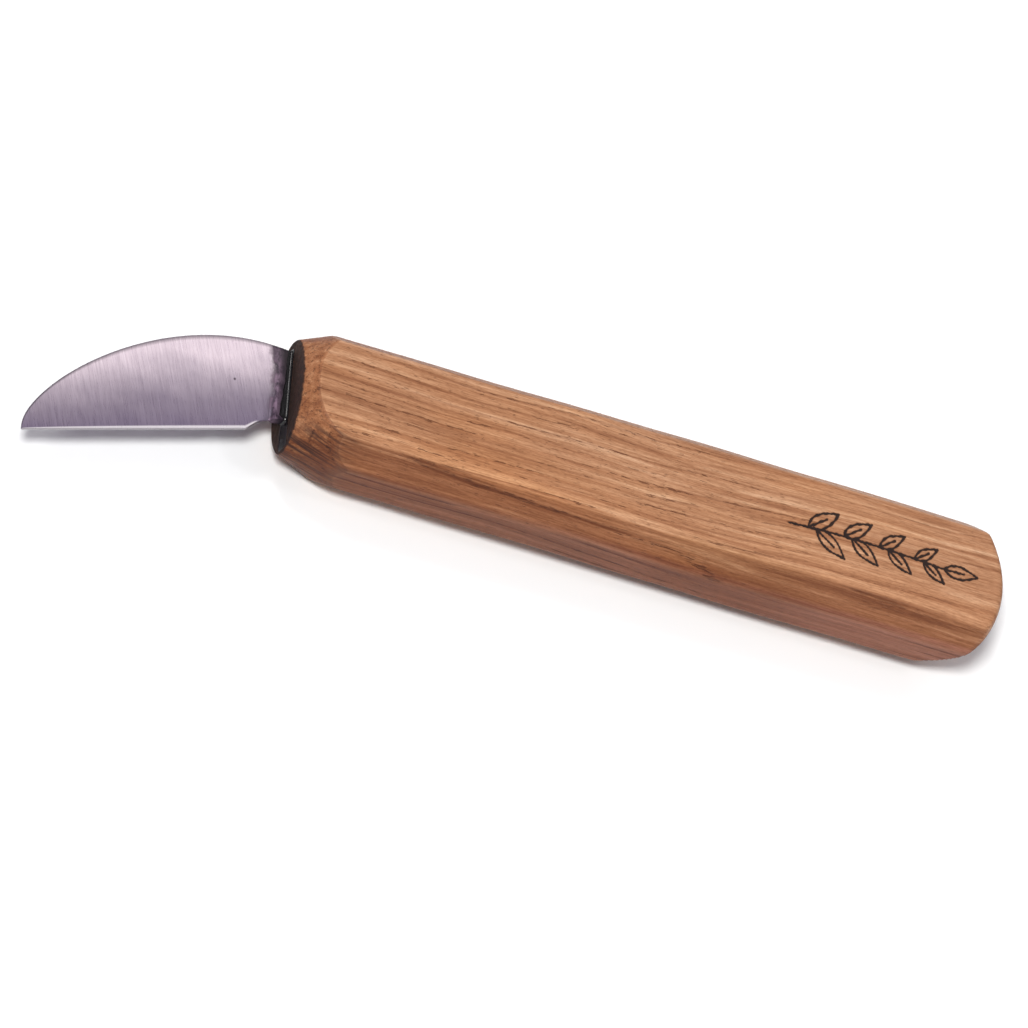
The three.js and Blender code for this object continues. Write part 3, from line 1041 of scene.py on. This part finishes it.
def steel_material():
    """Satin steel, scratched square to the cutting edge, with forge scale next to the handle."""
    g = Graph("satin_steel")
    x, y, z = g.parts(g.mm)

    def from_tip(way):
        """Distance from the tip, measured along a direction in the blade's plane."""
        return g.plus(g.times(g.less(x, float(TIP[0] + FRONT_X)), float(way[0])),
                      g.times(g.less(y, float(TIP[1])), float(way[1])))

    along, above = from_tip(-ALONG), from_tip(ABOVE)

    def scratches(lengthwise, upward, deep, **settings):
        way = g.combine(g.times(along, lengthwise), g.times(above, upward), g.times(z, deep))
        return g.noise(way, **settings)[0]

    fine = scratches(7.0, 0.30, 2.0, detail=4.0, roughness=0.7)
    coarse = scratches(2.2, 0.09, 1.0, detail=3.0, roughness=0.6)
    cloud = g.mottle((0.11, 0.16, 0.16), detail=3.0)

    # Painted reflection and shade on the ground flat: it is bright by the spine and greyer, with a
    # violet cast, by the edge. The change is quicker towards the tip, where the blade is lower.
    share = g.math("DIVIDE", above, g.span(along, 2.0, 24.0, 11.6, 16.4))
    colour = g.ramp(g.plus(share, g.centred(cloud, 0.4)),
                    (0.02, srgb(138, 127, 148)), (0.30, srgb(160, 149, 164)),
                    (0.55, srgb(200, 188, 198)), (0.85, srgb(252, 238, 244)))
    colour = g.multiply(colour, g.ramp(fine, (0.36, (0.79, 0.78, 0.80)), (0.60, grey(1.03))))
    colour = g.multiply(colour, g.ramp(coarse, (0.35, (0.90, 0.89, 0.90)), (0.65, grey(1.04))))

    # Scale: dark violet-black steel that the grinder never reached, with a ragged border that
    # comes further forward at the spine, and the same dark skin along the back.
    ragged = g.mottle((0.9, 0.5, 0.5), detail=4.0, roughness=0.65)
    border = g.linear(g.step(y, 2.0, 9.0), 1.0, -(FRONT_X + PLUNGE_X - 0.7))
    behind = g.plus(g.plus(x, border), g.centred(ragged, 2.6))
    scale = g.step(behind, -0.5, 0.6)
    scale_colour = g.mix(g.step(ragged, 0.36, 0.62), srgb(52, 41, 54), srgb(134, 112, 131))
    scale_colour = g.mix(g.step(behind, 1.3, 2.8), scale_colour, srgb(30, 24, 30))
    colour = g.mix(g.times(scale, 0.92), colour, scale_colour)
    colour = g.mix(g.times(g.attribute("spine"), 0.75), colour, srgb(58, 48, 60))
    # Painted highlight: the honed bevel is painted near-white, a bright line along the cutting edge.
    bevel = g.step(g.attribute("bevel"), 0.3, 0.7)
    colour = g.mix(g.times(bevel, 0.85), colour, srgb(252, 248, 250))

    # Small pits, and one deeper one near the handle.
    pit = g.cells(g.vector("MULTIPLY", g.mm, grey(0.33)))
    pitted = g.times(g.step(pit[0], 0.085, 0.05), g.step(g.parts(pit[1])[0], 0.72, 0.75))
    gap = g.vector("SUBTRACT", g.combine(x, y, 0.0), (FRONT_X - 9.9, 0.05, 0.0))
    gap = g.plus(g.vector("LENGTH", gap), g.centred(ragged, 0.5))
    pitted = g.math("MAXIMUM", pitted, g.step(gap, 0.32, 0.15))
    colour = g.mix(g.times(pitted, 0.8), colour, srgb(54, 38, 50))

    roughness = g.plus(g.span(fine, 0.35, 0.65, 0.26, 0.38), g.times(scale, 0.32))
    relief = g.plus(g.times(fine, 0.8), g.times(coarse, 0.5))
    relief = g.less(relief, g.times(pitted, 1.5))
    relief = g.plus(relief, g.times(g.times(ragged, scale), 2.0))
    return g.finish({"Metallic": 1.0}, base_color=colour, roughness=roughness,
                    normal=g.bump(relief, 0.010))


def epoxy_material():
    """Hard black epoxy, glossy, with fine unevenness and a little dust."""
    g = Graph("black_epoxy")
    wave = g.mottle(grey(0.8), detail=3.0)
    dust = g.step(g.mottle(grey(6.0)), 0.60, 0.78)
    colour = g.mix(g.times(dust, 0.3), srgb(13, 12, 14), srgb(50, 45, 48))
    return g.finish({"Specular IOR Level": 0.32}, base_color=colour,
                    roughness=g.span(wave, 0.3, 0.7, 0.14, 0.30), normal=g.bump(wave, 0.02))


def floor_material():
    g = Graph("pale_floor")
    colour = g.ramp(g.mottle(grey(0.004)), (0.3, (0.92, 0.945, 0.955)), (0.7, (0.94, 0.965, 0.975)))
    return g.finish({"Roughness": 0.9, "Specular IOR Level": 0.1}, base_color=colour)


# ------------ camera, light and floor

# Camera: where it looks from in degrees, and its distance and its picture's width in metres. It
# aims at a point AIM_OFFSET from the middle of the CAD's box.
VIEW_AZIMUTH = -37.05
VIEW_ELEVATION = 54.1
VIEW_ROLL = 47.95
VIEW_DISTANCE = 5.6
FRAME_WIDTH = 0.1720
AIM_OFFSET = Vector((0.00186, -0.00435, -0.00143))
CLIP_START = 0.05
CLIP_END = 50
SUN_DISTANCE = 3.0
FLOOR_REACH = 4.5


def make_camera():
    low, high = CAD_BOX
    target = (low + high) / 2 + AIM_OFFSET
    a, e = math.radians(VIEW_AZIMUTH), math.radians(VIEW_ELEVATION)
    back = Vector((math.sin(a) * math.cos(e), -math.cos(a) * math.cos(e), math.sin(e)))
    data = bpy.data.cameras.new("camera")
    data.lens = data.sensor_width * VIEW_DISTANCE / FRAME_WIDTH
    data.clip_start, data.clip_end = CLIP_START, CLIP_END
    camera = bpy.data.objects.new("camera", data)
    camera.rotation_mode = "QUATERNION"
    level = (-back).to_track_quat("-Z", "Y").to_matrix()
    turned = level @ Matrix.Rotation(math.radians(VIEW_ROLL), 3, "Z")
    camera.rotation_quaternion = turned.to_quaternion()
    camera.location = target + back * VIEW_DISTANCE
    bpy.context.scene.collection.objects.link(camera)
    bpy.context.scene.camera = camera


def aim_light(data, direction, distance):
    """Puts a light in a direction from the knife, facing it."""
    lamp = bpy.data.objects.new(data.name, data)
    way = Vector(direction).normalized()
    lamp.location = (CAD_BOX[0] + CAD_BOX[1]) / 2 + way * distance
    lamp.rotation_mode = "QUATERNION"
    lamp.rotation_quaternion = way.to_track_quat("Z", "Y")
    bpy.context.scene.collection.objects.link(lamp)


def area_light(name, direction, distance, size, power, colour=(1.0, 1.0, 1.0)):
    """A square soft light."""
    data = bpy.data.lights.new(name, "AREA")
    data.size = size
    data.energy = power
    data.color = colour
    aim_light(data, direction, distance)


def sun_light(name, direction, degrees, strength, colour):
    """An even light from one direction, that looks degrees wide from the knife."""
    data = bpy.data.lights.new(name, "SUN")
    data.energy = strength
    data.angle = math.radians(degrees)
    data.color = colour
    aim_light(data, direction, SUN_DISTANCE)


def make_lights():
    sun_light("key_light", (-0.405, -0.290, 0.867), 12, 2.75, (1.0, 0.985, 0.96))
    sun_light("fill_light", (-0.44, 0.47, 0.756), 14, 0.5, (1.0, 0.98, 0.97))
    area_light("steel_light", (0.36, 0.56, 0.76), 1.4, 0.9, 2.1, (1.0, 0.96, 0.98))
    area_light("edge_light", (0.50, 0.01, 0.866), 2.0, 0.15, 2.4)
    world = bpy.data.worlds.new("studio")
    world.use_nodes = True
    sky = world.node_tree.nodes["Background"]
    sky.inputs["Color"].default_value = (0.98, 0.93, 1.0, 1.0)
    sky.inputs["Strength"].default_value = 0.28
    bpy.context.scene.world = world
    bpy.context.scene.view_settings.view_transform = "Standard"


def make_floor():
    mesh = bpy.data.meshes.new("floor")
    z = CAD_BOX[0].z
    corners = [(x * FLOOR_REACH, y * FLOOR_REACH, z) for x, y in ((-1, -1), (1, -1), (1, 1), (-1, 1))]
    mesh.from_pydata(corners, [], [(0, 1, 2, 3)])
    mesh.materials.append(floor_material())
    floor = bpy.data.objects.new("floor", mesh)
    bpy.context.scene.collection.objects.link(floor)


# ------------ the knife

def finish_piece(piece, node, material):
    piece.data.materials.append(material)
    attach(piece, "root")
    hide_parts(node)


make_camera()
make_lights()
make_floor()
finish_piece(make_handle(), "handle", oak_material())
finish_piece(make_blade(), "blade", steel_material())
finish_piece(make_bedding(), "tang_bedding", epoxy_material())
